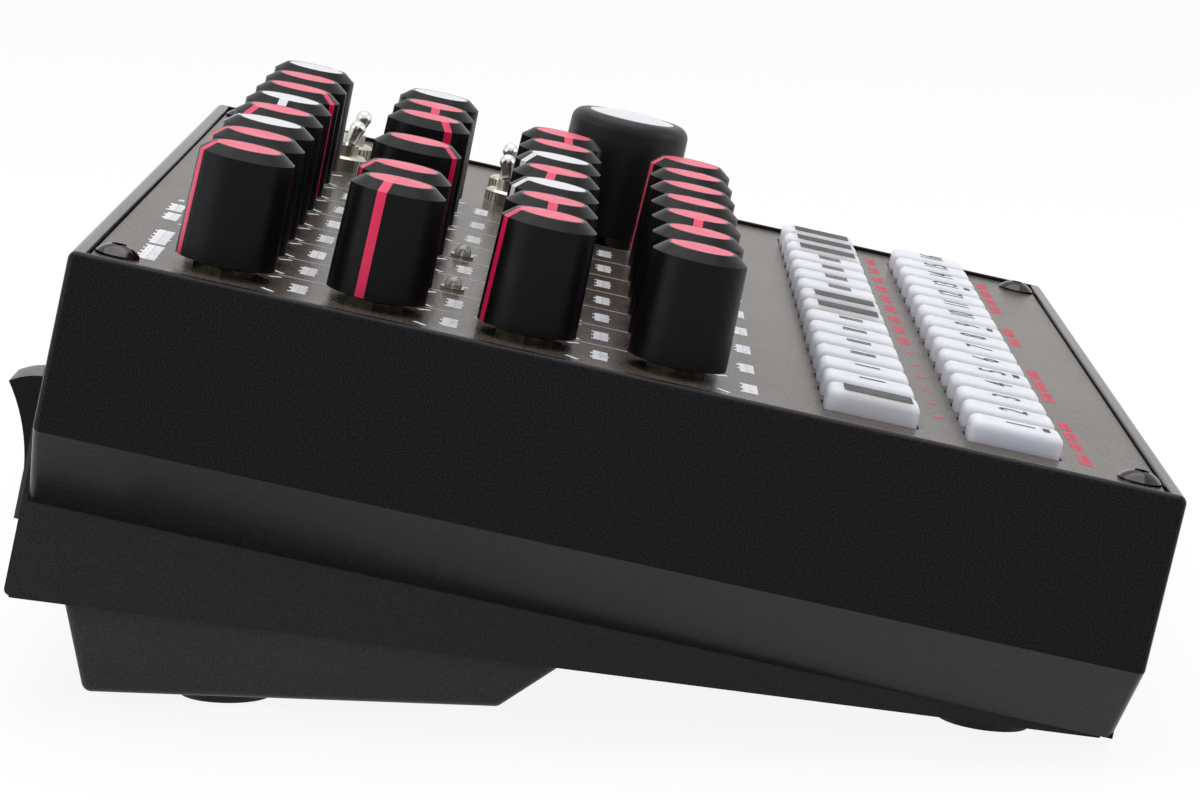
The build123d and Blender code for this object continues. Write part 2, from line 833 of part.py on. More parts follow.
def make_rocker():
    """The power switch's rocker: a hollowed face, and ends turned about its pivot."""
    lean = radians(rocker_tilt)
    pivot = deck.from_local_coords((rocker_across - half_width, wall_outer, -rear_row))
    out = deck.y_dir * cos(lean) - deck.z_dir * sin(lean)
    plane = Plane(origin=pivot, x_dir=out, z_dir=deck.x_dir)
    back_edge = sqrt(rocker_radius**2 - rocker_back**2)
    with BuildPart() as rocker:
        with BuildSketch(plane):
            with BuildLine():
                ThreePointArc(
                    (rocker_face, rocker_edge), (rocker_face - rocker_hollow, 0), (rocker_face, -rocker_edge)
                )
                ThreePointArc((rocker_face, -rocker_edge), (0, -rocker_radius), (-rocker_back, -back_edge))
                Polyline((-rocker_back, -back_edge), (-rocker_heel, 0), (-rocker_back, back_edge))
                ThreePointArc((-rocker_back, back_edge), (0, rocker_radius), (rocker_face, rocker_edge))
            make_face()
        extrude(amount=rocker_half, both=True)
        with BuildSketch(plane):
            Circle(trunnion_diameter / 2)
        extrude(amount=rocker_room + trunnion_length, both=True)
    return rocker.part


def make_power_inlet():
    """Coaxial power inlet with its centre pin."""
    base = rear(power_across, -rear_row)
    radius = power_bore / 2
    with BuildPart() as inlet:
        with BuildSketch(base.offset(-tray_sheet)):
            Rectangle(power_body, power_body)
        extrude(amount=-power_depth - socket_floor)
        with BuildSketch(base):
            Circle(radius + socket_wall)
        extrude(amount=-tray_sheet)
        with BuildSketch(base):
            Circle(radius)
            Circle(power_pin / 2, mode=Mode.SUBTRACT)
        extrude(amount=-power_depth, mode=Mode.SUBTRACT)
    return inlet.part


def make_din_socket(across):
    """Round five-pole socket: a thin flange outside and a cup behind the wall."""
    base = rear(across, -rear_row)
    cup = din_bore / 2 + socket_wall
    with BuildPart() as socket:
        with BuildSketch(base):
            Circle(din_flange / 2)
        extrude(amount=din_flange_height)
        with BuildSketch(base):
            Circle(cup)
        extrude(amount=-din_depth - socket_floor)
        with BuildSketch(base.offset(din_flange_height)):
            Circle(din_bore / 2)
        extrude(amount=-din_depth - din_flange_height, mode=Mode.SUBTRACT)
    return socket.part


def make_jack(across):
    """Quarter-inch socket: body behind the wall, threaded bushing and nut outside."""
    base = rear(across, -rear_row)
    with BuildPart() as jack:
        with BuildSketch(base.offset(-tray_sheet)):
            Rectangle(jack_body, jack_body)
        extrude(amount=-jack_depth)
        with BuildSketch(base.offset(-tray_sheet)):
            Circle(jack_bushing / 2)
        extrude(amount=tray_sheet + jack_bushing_stand)
        with BuildSketch(base):
            RegularPolygon(jack_nut_across / 2, 6, major_radius=False)
        extrude(amount=jack_nut_height)
        with BuildSketch(base.offset(jack_bushing_stand)):
            Circle(jack_bore / 2)
        extrude(amount=-(jack_bushing_stand + jack_depth - socket_floor), mode=Mode.SUBTRACT)
    return jack.part


# ---------------------------------------------------------------- screws


def make_panel_screw(across, back):
    """Button-head socket screw that holds a corner of the panel."""
    base = seat(across, back)
    head = panel_head / 2
    with BuildPart() as screw:
        with BuildSketch(upright(base)):
            with BuildLine():
                Polyline((0, panel_head_height), (0, 0), (head, 0), (head, panel_head_rim))
                dome_arc(head, panel_head_rim, panel_head_height - panel_head_rim)
            make_face()
        revolve(axis=axis_of(base))
        with BuildSketch(base):
            Circle(panel_screw / 2)
        extrude(amount=-panel_screw_length)
        with BuildSketch(base.offset(panel_head_height)):
            RegularPolygon(panel_socket / 2, 6, major_radius=False)
        extrude(amount=-panel_socket_depth, mode=Mode.SUBTRACT)
    return screw.part


def make_wall_screw(across):
    """Pan-head screw that holds the tray's rear wall to the case."""
    base = rear(across, -wall_screw_height)
    with BuildPart() as screw:
        with BuildSketch(base):
            Circle(wall_head / 2)
        extrude(amount=wall_head_height)
        chamfer(screw.faces().sort_by(axis_of(base))[-1].edges(), 0.4)
        with BuildSketch(base):
            Circle(wall_screw / 2)
        extrude(amount=-wall_screw_length)
    return screw.part


# ---------------------------------------------------------------- build and write

os.makedirs("parts", exist_ok=True)

save(make_top_case(), "top_case")
save(make_front_panel(), "front_panel")
save(make_bottom_tray(), "bottom_tray")
save(make_tilt_stand(), "tilt_stand")
save(make_feet(), "rubber_feet")

for name, (c, r, direction) in knobs.items():
    save(make_knob(column(c), row(r), direction), name)
save(make_large_knob(), "knob_large")
save([solid for a, b in pot_places for solid in make_pot(a, b)]
     + [solid for a, b in toggle_places for solid in make_toggle_body(a, b)], "panel_controls")
for number, (a, b) in enumerate(toggle_places, start=1):
    throw = -toggle_throw if b == row(toggle_rows[0]) else toggle_throw
    save(make_lever(a, b, throw), f"toggle_lever_{number}")

for number in range(key_count):
    save(make_key(key_place(number), key_rows[1]), f"step_key_{number + 1:02d}")
save([make_key(key_place(number), key_rows[0]) for number in range(key_count)], "function_keys")
save([make_board()] + [make_switch(a, b) for a, b in key_places]
     + [solid for a, b in lamp_places for solid in make_lamp(a, b)], "control_board")

save(make_rocker(), "power_rocker")
save([make_rocker_housing(), make_power_inlet()] + [make_din_socket(a) for a in din_across]
     + [make_jack(a) for a in jack_across], "rear_connectors")
save([make_panel_screw(a, b) for a, b in panel_screw_places]
     + [make_wall_screw(a) for a in wall_screw_across], "screws")
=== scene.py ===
"""Looks of the desktop drum machine: its finishes, printed marks, socket details and studio.

Places on the sloping deck are (across, back): metres from the case's left side, and metres from its rear edge
along the deck. Heights are measured along the deck's normal from the face of the control panel.
"""

import json
import logging
import math
from dataclasses import dataclass, field
from enum import Enum

import bmesh
import bpy
import numpy as np
from mathutils import Matrix, Vector


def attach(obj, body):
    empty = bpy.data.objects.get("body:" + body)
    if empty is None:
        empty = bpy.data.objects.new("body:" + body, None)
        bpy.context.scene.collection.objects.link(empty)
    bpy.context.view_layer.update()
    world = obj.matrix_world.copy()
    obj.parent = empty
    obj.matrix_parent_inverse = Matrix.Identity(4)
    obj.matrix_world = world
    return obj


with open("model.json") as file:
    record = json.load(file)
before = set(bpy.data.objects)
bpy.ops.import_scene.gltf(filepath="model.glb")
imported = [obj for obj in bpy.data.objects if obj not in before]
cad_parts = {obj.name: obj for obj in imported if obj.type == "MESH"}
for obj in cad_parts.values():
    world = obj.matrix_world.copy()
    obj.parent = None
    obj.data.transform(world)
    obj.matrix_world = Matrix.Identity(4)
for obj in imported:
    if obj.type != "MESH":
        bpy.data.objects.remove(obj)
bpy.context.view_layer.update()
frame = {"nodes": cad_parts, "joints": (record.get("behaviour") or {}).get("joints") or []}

logging.basicConfig(level=logging.INFO, format="%(levelname)s %(message)s")
log = logging.getLogger("drum_machine")

Colour = tuple[float, float, float]
Tree = bpy.types.NodeTree
Node = bpy.types.Node
Socket = bpy.types.NodeSocket
MM = 0.001


# ---------------------------------------------------------------- the deck


@dataclass(frozen=True)
class Deck:
    """The sloping plane that every control stands on."""

    origin: Vector
    width: float = 270.0 * MM
    depth: float = 190.0 * MM
    tilt: float = math.radians(10.5)
    # From the middle of the deck to the outside of the rear wall
    wall_outer: float = 96.0 * MM

    @classmethod
    def under(cls, hinge: Vector, across: float, back: float) -> "Deck":
        """Finds the deck that a knob's hinge stands on.

        Args:
            hinge: The hinge's place, in world metres.
            across: How far across the knob stands.
            back: How far back it stands.

        Returns:
            The deck.
        """
        local = Vector((across - cls.width / 2, cls.depth / 2 - back, 0.0))
        return cls(origin=hinge - Matrix.Rotation(cls.tilt, 3, "X") @ local)

    def matrix(self) -> Matrix:
        """Returns the matrix from deck coordinates (right, rearward, up off the panel) to the world."""
        return Matrix.Translation(self.origin) @ Matrix.Rotation(self.tilt, 4, "X")

    def place(self, across: float, back: float, height: float = 0.0, turn: float = 0.0) -> Matrix:
        """Places something on the deck.

        Args:
            across: Metres from the case's left side.
            back: Metres from the case's rear edge.
            height: Metres off the panel's face.
            turn: Radians about the deck's normal.

        Returns:
            The matrix that carries a mesh from its own origin to that place.
        """
        local = Vector((across - self.width / 2, self.depth / 2 - back, height))
        return self.matrix() @ Matrix.Translation(local) @ Matrix.Rotation(turn, 4, "Z")

    def rear(self, across: float, height: float, out: float = 0.0) -> Matrix:
        """Places something on the rear wall.

        Args:
            across: Metres from the case's left side.
            height: Metres off the panel's face.
            out: Metres out of the wall.

        Returns:
            The matrix to that place, its z axis pointing out of the wall and its y axis up the wall.
        """
        local = Vector((across - self.width / 2, self.wall_outer + out, height))
        facing = Matrix.Rotation(math.pi, 4, "Z") @ Matrix.Rotation(math.pi / 2, 4, "X")
        return self.matrix() @ Matrix.Translation(local) @ facing

    def local(self, points: np.ndarray) -> np.ndarray:
        """Carries world points to the deck.

        Args:
            points: World points, one per row.

        Returns:
            Their (across, back, height), one per row.
        """
        inverse = np.array(self.matrix().inverted())
        there = points @ inverse[:3, :3].T + inverse[:3, 3]
        return np.stack([there[:, 0] + self.width / 2, self.depth / 2 - there[:, 1], there[:, 2]], axis=1)


@dataclass(frozen=True)
class ControlGrid:
    """Where knobs, lamps and toggles stand."""

    first: float = 19.2 * MM
    pitch: float = 23.35 * MM
    rows: tuple[float, ...] = (24.4 * MM, 50.5 * MM, 76.6 * MM, 102.7 * MM)
    lamps: tuple[float, ...] = (1.75, 3.75)
    lamp_back: float = 62.5 * MM

    def column(self, index: float) -> float:
        """Returns how far across a column stands."""
        return self.first + index * self.pitch


GRID = ControlGrid()
JOINTS = {joint["child"]: joint for joint in frame["joints"]}
DECK = Deck.under(Vector(JOINTS["knob_a1"]["pos_m"]), GRID.column(0), GRID.rows[0])


def stand(child: str) -> np.ndarray:
    """Returns the (across, back, height) of the joint that a piece moves on."""
    return DECK.local(np.array([JOINTS[child]["pos_m"]]))[0]


# ---------------------------------------------------------------- shader node groups

# The span that a noise texture's values usually cover
NOISE_SPAN = (0.3, 0.7)

# Scales of the noise textures, per metre
SHEEN_PATCHES = 22.0
COAT_FLECKS = 3600.0
HANDLING_RUBS = 260.0
METAL_STAINS = 420.0

# How far stains change the roughness of metal, and how tool lines are drawn out across the axis
STAIN_ROUGHNESS = 0.05
TOOL_LINE_STRETCH = (0.02, 0.02, 1.0)


class Group(Enum):
    """The shader effects that more than one finish uses."""

    COAT = "powder_coat_grain"
    MOULD = "moulded_surface"
    TURNED = "turned_metal"


def new_group(name: str, inputs: dict[str, float], outputs: tuple[str, ...]) -> Tree:
    """Makes an empty shader node group.

    Args:
        name: The group's name.
        inputs: Its float inputs and their defaults.
        outputs: Its float outputs.

    Returns:
        The group, with its Group Input and Group Output nodes.
    """
    tree = bpy.data.node_groups.new(name, "ShaderNodeTree")
    for key, value in inputs.items():
        socket = tree.interface.new_socket(key, in_out="INPUT", socket_type="NodeSocketFloat")
        socket.default_value = value
    for key in outputs:
        tree.interface.new_socket(key, in_out="OUTPUT", socket_type="NodeSocketFloat")
    tree.nodes.new("NodeGroupInput")
    tree.nodes.new("NodeGroupOutput")
    return tree


def put(tree: Tree, kind: str, **values: object) -> Node:
    """Adds a shader node.

    Args:
        tree: Where it goes.
        kind: Its type.
        values: Its plain properties.

    Returns:
        The node.
    """
    node = tree.nodes.new(kind)
    for key, value in values.items():
        setattr(node, key, value)
    return node


def noise(tree: Tree, vector: Socket, scale: float, detail: float) -> Node:
    """Adds a noise texture.

    Args:
        tree: Where it goes.
        vector: The coordinates that it reads.
        scale: Its scale, per metre.
        detail: How many finer layers it has.

    Returns:
        The texture's node.
    """
    node = put(tree, "ShaderNodeTexNoise")
    node.inputs["Scale"].default_value = scale
    node.inputs["Detail"].default_value = detail
    tree.links.new(vector, node.inputs["Vector"])
    return node


def spread(tree: Tree, value: Socket, low: float, high: float) -> Socket:
    """Maps a noise value from its usual span onto another.

    Args:
        tree: Where the node goes.
        value: The noise value.
        low: What the span's lower end becomes.
        high: What its upper end becomes.

    Returns:
        The mapped value.
    """
    node = put(tree, "ShaderNodeMapRange")
    node.inputs["From Min"].default_value, node.inputs["From Max"].default_value = NOISE_SPAN
    node.inputs["To Min"].default_value = low
    node.inputs["To Max"].default_value = high
    tree.links.new(value, node.inputs["Value"])
    return node.outputs["Result"]


def waver(tree: Tree, mask: Socket, amount: Socket | float, base: Socket) -> Socket:
    """Makes a value waver over the surface.

    Args:
        tree: Where the node goes.
        mask: Runs from -1 to 1 over the surface.
        amount: How far the value goes from its base.
        base: What it wavers about.

    Returns:
        The wavering value.
    """
    node = put(tree, "ShaderNodeMath", operation="MULTIPLY_ADD")
    tree.links.new(mask, node.inputs[0])
    if isinstance(amount, float):
        node.inputs[1].default_value = amount
    else:
        tree.links.new(amount, node.inputs[1])
    tree.links.new(base, node.inputs[2])
    return node.outputs[0]


def build_coat_group() -> None:
    """Powder coat: a fine pebbled grain, slow patches of sheen and fine flecks."""
    inputs = {"Grain": 2600.0, "Rough": 0.5, "Patches": 0.05}
    tree = new_group(Group.COAT.value, inputs, ("Height", "Roughness", "Fleck"))
    start, end = tree.nodes["Group Input"], tree.nodes["Group Output"]
    place = put(tree, "ShaderNodeTexCoord").outputs["Object"]
    pebble = noise(tree, place, 1.0, 1.0)
    tree.links.new(start.outputs["Grain"], pebble.inputs["Scale"])
    tree.links.new(pebble.outputs["Fac"], end.inputs["Height"])
    slow = spread(tree, noise(tree, place, SHEEN_PATCHES, 3.0).outputs["Fac"], -1.0, 1.0)
    rough = waver(tree, slow, start.outputs["Patches"], start.outputs["Rough"])
    tree.links.new(rough, end.inputs["Roughness"])
    fleck = noise(tree, place, COAT_FLECKS, 0.0)
    tree.links.new(spread(tree, fleck.outputs["Fac"], 0.0, 1.0), end.inputs["Fleck"])


def build_mould_group() -> None:
    """Moulded plastic: a spark-eroded grain and faint handling marks."""
    inputs = {"Grain": 4200.0, "Rough": 0.4, "Handling": 0.06}
    tree = new_group(Group.MOULD.value, inputs, ("Height", "Roughness"))
    start, end = tree.nodes["Group Input"], tree.nodes["Group Output"]
    place = put(tree, "ShaderNodeTexCoord").outputs["Object"]
    grain = noise(tree, place, 1.0, 2.0)
    tree.links.new(start.outputs["Grain"], grain.inputs["Scale"])
    tree.links.new(grain.outputs["Fac"], end.inputs["Height"])
    rub = spread(tree, noise(tree, place, HANDLING_RUBS, 4.0).outputs["Fac"], -1.0, 1.0)
    rough = waver(tree, rub, start.outputs["Handling"], start.outputs["Rough"])
    tree.links.new(rough, end.inputs["Roughness"])


def build_turned_group() -> None:
    """Turned and plated metal: fine tool lines across the axis and a slight tarnish."""
    inputs = {"Lines": 9000.0, "Rough": 0.2}
    tree = new_group(Group.TURNED.value, inputs, ("Height", "Roughness", "Tarnish"))
    start, end = tree.nodes["Group Input"], tree.nodes["Group Output"]
    place = put(tree, "ShaderNodeTexCoord").outputs["Object"]
    turn = put(tree, "ShaderNodeMapping")
    turn.inputs["Rotation"].default_value = (-DECK.tilt, 0.0, 0.0)
    turn.inputs["Scale"].default_value = TOOL_LINE_STRETCH
    tree.links.new(place, turn.inputs["Vector"])
    lines = noise(tree, turn.outputs["Vector"], 1.0, 1.0)
    tree.links.new(start.outputs["Lines"], lines.inputs["Scale"])
    tree.links.new(lines.outputs["Fac"], end.inputs["Height"])
    stain = noise(tree, place, METAL_STAINS, 3.0).outputs["Fac"]
    tree.links.new(spread(tree, stain, 0.0, 1.0), end.inputs["Tarnish"])
    rough = waver(tree, spread(tree, stain, -1.0, 1.0), STAIN_ROUGHNESS, start.outputs["Rough"])
    tree.links.new(rough, end.inputs["Roughness"])


# ---------------------------------------------------------------- finishes


@dataclass(frozen=True)
class Finish:
    """What every finish has: a name, a colour and how rough it is."""

    name: str
    colour: Colour
    rough: float

    def shader(self) -> tuple[bpy.types.Material, Tree, Node]:
        """Makes the material.

        Returns:
            The material, its node tree and its Principled BSDF.
        """
        material = bpy.data.materials.new(self.name)
        material.use_nodes = True
        tree = material.node_tree
        surface = tree.nodes["Principled BSDF"]
        surface.inputs["Base Color"].default_value = (*self.colour, 1.0)
        surface.inputs["Roughness"].default_value = self.rough
        material.diffuse_color = (*self.colour, 1.0)
        return material, tree, surface


def bump(tree: Tree, surface: Node, height: Socket, depth: float) -> None:
    """Feeds a height through a Bump node into a surface's normal.

    Args:
        tree: Where the node goes.
        surface: The material's shader.
        height: The height, from 0 to 1.
        depth: How deep the whole height is, in metres.
    """
    node = put(tree, "ShaderNodeBump")
    node.inputs["Distance"].default_value = depth
    tree.links.new(height, node.inputs["Height"])
    tree.links.new(node.outputs["Normal"], surface.inputs["Normal"])


def use_group(tree: Tree, group: Group, **values: float) -> Node:
    """Places a node group.

    Args:
        tree: Where it goes.
        group: The group.
        values: Its inputs.

    Returns:
        The group's node.
    """
    node = put(tree, "ShaderNodeGroup", node_tree=bpy.data.node_groups[group.value])
    for key, value in values.items():
        node.inputs[key].default_value = value
    return node


def tint(tree: Tree, surface: Node, mask: Socket, plain: Colour, other: Colour) -> None:
    """Mixes two colours into the base colour.

    Args:
        tree: Where the node goes.
        surface: The material's shader.
        mask: Where the other colour shows.
        plain: The colour where the mask is 0.
        other: The colour where it is 1.
    """
    mix = put(tree, "ShaderNodeMix", data_type="RGBA")
    mix.inputs["A"].default_value = (*plain, 1.0)
    mix.inputs["B"].default_value = (*other, 1.0)
    tree.links.new(mask, mix.inputs["Factor"])
    tree.links.new(mix.outputs["Result"], surface.inputs["Base Color"])


@dataclass(frozen=True)
class PowderCoat(Finish):
    """Powder-coated steel, with a thin smooth veil over its grain."""

    grain: float = 2600.0
    depth: float = 0.00007
    gloss: float = 0.35
    fleck: Colour = (0.03, 0.03, 0.032)
    patches: float = 0.04
    veil: float = 0.0
    veil_rough: float = 0.2
    veil_ior: float = 1.15

    def build(self) -> bpy.types.Material:
        """Makes the material.

        Returns:
            The material.
        """
        material, tree, surface = self.shader()
        group = use_group(tree, Group.COAT, Grain=self.grain, Rough=self.rough, Patches=self.patches)
        surface.inputs["Specular IOR Level"].default_value = self.gloss
        surface.inputs["Coat Weight"].default_value = self.veil
        surface.inputs["Coat Roughness"].default_value = self.veil_rough
        surface.inputs["Coat IOR"].default_value = self.veil_ior
        tint(tree, surface, group.outputs["Fleck"], self.colour, self.fleck)
        tree.links.new(group.outputs["Roughness"], surface.inputs["Roughness"])
        bump(tree, surface, group.outputs["Height"], self.depth)
        return material


@dataclass(frozen=True)
class Moulding(Finish):
    """Injection-moulded plastic, rubber or printing ink."""

    grain: float = 4200.0
    depth: float = 0.000006
    gloss: float = 0.5
    handling: float = 0.05
    glow: float = 0.0
    glow_colour: Colour = (0.9, 1.0, 1.15)
    glow_depth: float = 0.006
    clear: float = 0.0

    def build(self) -> bpy.types.Material:
        """Makes the material.

        Returns:
            The material.
        """
        material, tree, surface = self.shader()
        group = use_group(tree, Group.MOULD, Grain=self.grain, Rough=self.rough, Handling=self.handling)
        surface.inputs["Specular IOR Level"].default_value = self.gloss
        surface.inputs["Transmission Weight"].default_value = self.clear
        if self.glow:
            surface.inputs["Subsurface Weight"].default_value = self.glow
            surface.inputs["Subsurface Radius"].default_value = self.glow_colour
            surface.inputs["Subsurface Scale"].default_value = self.glow_depth
        tree.links.new(group.outputs["Roughness"], surface.inputs["Roughness"])
        bump(tree, surface, group.outputs["Height"], self.depth)
        return material


@dataclass(frozen=True)
class Plating(Finish):
    """Plated or bare metal."""

    tarnish: Colour = (0.35, 0.3, 0.22)
    lines: float = 9000.0
    depth: float = 0.000008

    def build(self) -> bpy.types.Material:
        """Makes the material.

        Returns:
            The material.
        """
        material, tree, surface = self.shader()
        group = use_group(tree, Group.TURNED, Lines=self.lines, Rough=self.rough)
        surface.inputs["Metallic"].default_value = 1.0
        tint(tree, surface, group.outputs["Tarnish"], self.colour, self.tarnish)
        tree.links.new(group.outputs["Roughness"], surface.inputs["Roughness"])
        bump(tree, surface, group.outputs["Height"], self.depth)
        return material


class Look:
    """Every finish on the drum machine, built once."""

    def __init__(self) -> None:
        """Builds the node groups and then the materials."""
        build_coat_group()
        build_mould_group()
        build_turned_group()
        self.coat_steel()
        self.mould_plastic()
        self.plate_metal()
        self.mix_inks()

    def coat_steel(self) -> None:
        """Builds the powder coats of the case, the tray, the stand and the control panel."""
        self.case = PowderCoat(
            "case_black",
            (0.0004, 0.0003, 0.0007),
            0.36,
            gloss=0.05,
            fleck=(0.0094, 0.0088, 0.0105),
            veil=0.8,
        ).build()
        # The tray's and stand's coats are rougher than the case's, and their colours and flecks are lighter:
        # painted light for the bounce from the table below.
        self.tray = PowderCoat(
            "tray_black",
            (0.0028, 0.0027, 0.0032),
            0.45,
            gloss=0.19,
            fleck=(0.0122, 0.0120, 0.0133),
            veil=0.3,
        ).build()
        self.stand = PowderCoat(
            "stand_black",
            (0.0034, 0.0032, 0.0037),
            0.5,
            gloss=0.29,
            fleck=(0.0225, 0.0220, 0.0238),
            veil=0.3,
        ).build()
        self.panel = PowderCoat(
            "panel_bronze",
            (0.034, 0.027, 0.023),
            0.22,
            grain=1300.0,
            depth=0.00003,
            gloss=0.03,
            fleck=(0.12, 0.10, 0.086),
            patches=0.015,
        ).build()

    def mould_plastic(self) -> None:
        """Builds the plastics of the knobs, keys, rocker, sockets, feet, board and lamps."""
        sparked = {"grain": 1700.0, "depth": 0.00002}
        self.knob = Moulding("knob_black", (0.0032, 0.0032, 0.0038), 0.36, gloss=0.1, **sparked).build()
        self.large_knob = Moulding(
            "large_knob_black", (0.010, 0.010, 0.0115), 0.4, gloss=0.2, **sparked
        ).build()
        self.red = Moulding("inlay_red", (0.66, 0.006, 0.075), 0.34, gloss=0.42).build()
        self.white = Moulding("inlay_white", (0.62, 0.62, 0.66), 0.36, gloss=0.3).build()
        self.key = Moulding("key_milky", (0.615, 0.625, 0.68), 0.42, gloss=0.22, glow=0.85).build()
        self.rocker = Moulding(
            "rocker_black", (0.006, 0.0055, 0.006), 0.3, depth=0.000004, gloss=0.12
        ).build()
        self.socket = Moulding("socket_black", (0.008, 0.008, 0.009), 0.36).build()
        self.rubber = Moulding(
            "foot_rubber",
            (0.008, 0.008, 0.008),
            0.75,
            grain=1800.0,
            depth=0.00002,
            gloss=0.2,
        ).build()
        self.board = Moulding("board_green", (0.012, 0.085, 0.04), 0.35, grain=900.0).build()
        self.clear = Moulding("lamp_clear", (0.92, 0.92, 0.88), 0.05, depth=0.0, clear=0.85).build()

    def plate_metal(self) -> None:
        """Builds the metals of the toggles, sockets, nuts and screws."""
        self.nickel = Plating("nickel", (0.56, 0.55, 0.51), 0.32, (0.44, 0.41, 0.34)).build()
        # The pot nuts are nickel painted near black, and so is their tarnish: painted shade for the shadow
        # under the knobs, where only thin glints show.
        self.nut = Plating("nut_nickel_painted_shade", (0.012, 0.012, 0.011), 0.12, (0.05, 0.044, 0.026)).build()
        self.chrome = Plating("chrome", (0.70, 0.70, 0.68), 0.22, (0.6, 0.59, 0.55), depth=0.000002).build()
        self.oxide = Plating("black_oxide", (0.030, 0.030, 0.034), 0.16, (0.06, 0.055, 0.055)).build()

    def mix_inks(self) -> None:
        """Builds the inks that the panel and the keys are printed with."""
        panel_ink = {"grain": 2600.0, "gloss": 0.4}
        self.ink_white = Moulding("print_white", (0.88, 0.90, 0.94), 0.5, **panel_ink).build()
        self.ink_line = Moulding("print_line", (0.66, 0.64, 0.63), 0.5, **panel_ink).build()
        self.ink_red = Moulding("print_red", (0.50, 0.025, 0.06), 0.5, **panel_ink).build()
        self.ink_dark = Moulding("print_dark", (0.012, 0.012, 0.014), 0.5, grain=2600.0, gloss=0.3).build()


# ---------------------------------------------------------------- making and dressing pieces


def centres(node: bpy.types.Object) -> np.ndarray:
    """Finds the middle of each polygon of a CAD node.

    Args:
        node: The node.

    Returns:
        The middles in world metres, one per row.
    """
    found = np.zeros(len(node.data.polygons) * 3)
    node.data.polygons.foreach_get("center", found)
    return found.reshape(-1, 3)


def dress(name: str, materials: list[bpy.types.Material], choice: np.ndarray | None = None) -> None:
    """Gives a CAD node its finishes.

    Args:
        name: The node.
        materials: Its finishes.
        choice: Which finish each polygon takes, or None where one covers it all.
    """
    node = frame["nodes"][name]
    node.data.materials.clear()
    for material in materials:
        node.data.materials.append(material)
    index = np.zeros(len(node.data.polygons), np.int32) if choice is None else choice.astype(np.int32)
    node.data.polygons.foreach_set("material_index", index)
    node.data.update()
    log.info("dressed %s with %d finishes", name, len(materials))


@dataclass
class Sheaf:
    """Many small shapes that make up one piece."""

    name: str
    material: bpy.types.Material
    body: str = "case"
    slot: str = "panel_coat"
    mesh: bmesh.types.BMesh = field(default_factory=bmesh.new)

    def block(self, size: tuple[float, float, float], matrix: Matrix) -> None:
        """Adds a block that stands on the place's plane.

        Args:
            size: Its width, depth and height.
            matrix: The place of the middle of its foot.
        """
        up = Matrix.Translation((0.0, 0.0, size[2] / 2))
        scale = Matrix.Diagonal((*size, 1.0))
        bmesh.ops.create_cube(self.mesh, size=1.0, matrix=matrix @ up @ scale)

    def disc(self, radius: float, height: float, matrix: Matrix, sides: int = 20) -> None:
        """Adds a disc that stands on the place's plane.

        Args:
            radius: Its radius.
            height: Its height.
            matrix: The place of the middle of its foot.
            sides: How many sides stand for its round edge.
        """
        up = Matrix.Translation((0.0, 0.0, height / 2))
        bmesh.ops.create_cone(
            self.mesh,
            cap_ends=True,
            segments=sides,
            radius1=radius,
            radius2=radius,
            depth=height,
            matrix=matrix @ up,
        )

    def ring(self, outer: float, inner: float, height: float, matrix: Matrix, sides: int = 24) -> None:
        """Adds a flat ring that stands on the place's plane.

        Args:
            outer: Its outer radius.
            inner: Its inner radius.
            height: Its height.
            matrix: The place of the middle of its foot.
            sides: How many sides stand for each round edge.
        """
        made = bmesh.ops.create_circle(
            self.mesh, cap_ends=True, segments=sides, radius=outer, matrix=matrix
        )
        face = made["verts"][0].link_faces[0]
        bmesh.ops.inset_individual(self.mesh, faces=[face], thickness=outer - inner)
        rim = {edge_face for vert in made["verts"] for edge_face in vert.link_faces}
        bmesh.ops.delete(self.mesh, geom=[face], context="FACES_ONLY")
        raised = bmesh.ops.extrude_face_region(self.mesh, geom=list(rim))
        lift = matrix.to_3x3() @ Vector((0.0, 0.0, height))
        moved = [item for item in raised["geom"] if isinstance(item, bmesh.types.BMVert)]
        bmesh.ops.translate(self.mesh, verts=moved, vec=lift)
        # The extrusion leaves the order of its faces to chance, so they get a fixed one
        self.mesh.verts.index_update()
        self.mesh.faces.sort(key=self.rank)

    def rank(self, face: bmesh.types.BMFace) -> int:
        """Returns a face's place in the mesh, from its first and its last corner."""
        corners = [vert.index for vert in face.verts]
        return min(corners) * len(self.mesh.verts) + max(corners)

    def text(self, words: str, size: float, matrix: Matrix, height: float) -> None:
        """Adds raised figures.

        Args:
            words: The figures.
            size: How tall they are.
            matrix: The place of their middle.
            height: How far they stand out to each side of the place's plane.
        """
        curve = bpy.data.curves.new("figures", "FONT")
        curve.body = words
        curve.size = size
        curve.align_x = "CENTER"
        curve.align_y = "CENTER"
        curve.extrude = height
        holder = bpy.data.objects.new("figures", curve)
        shape = bpy.data.meshes.new_from_object(holder)
        shape.transform(matrix)
        self.mesh.from_mesh(shape)
        bpy.data.objects.remove(holder)
        bpy.data.meshes.remove(shape)
        bpy.data.curves.remove(curve)

    def finish(self) -> None:
        """Turns the shapes into one object that rides on its body."""
        bmesh.ops.recalc_face_normals(self.mesh, faces=self.mesh.faces[:])
        data = bpy.data.meshes.new(self.name)
        self.mesh.to_mesh(data)
        self.mesh.free()
        data.materials.append(self.material)
        piece = bpy.data.objects.new(self.name, data)
        bpy.context.scene.collection.objects.link(piece)
        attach(piece, self.body)
        log.info("made %s: %d faces", self.name, len(data.polygons))


# ---------------------------------------------------------------- the drum machine's sub-assemblies


@dataclass
class CaseWork:
    """Case, tray, stand, feet and screws."""

    look: Look

    def build(self) -> None:
        """Dresses the folded steel and what it stands on."""
        dress("top_case", [self.look.case])
        dress("bottom_tray", [self.look.tray])
        dress("tilt_stand", [self.look.stand])
        dress("rubber_feet", [self.look.rubber])
        dress("screws", [self.look.oxide])


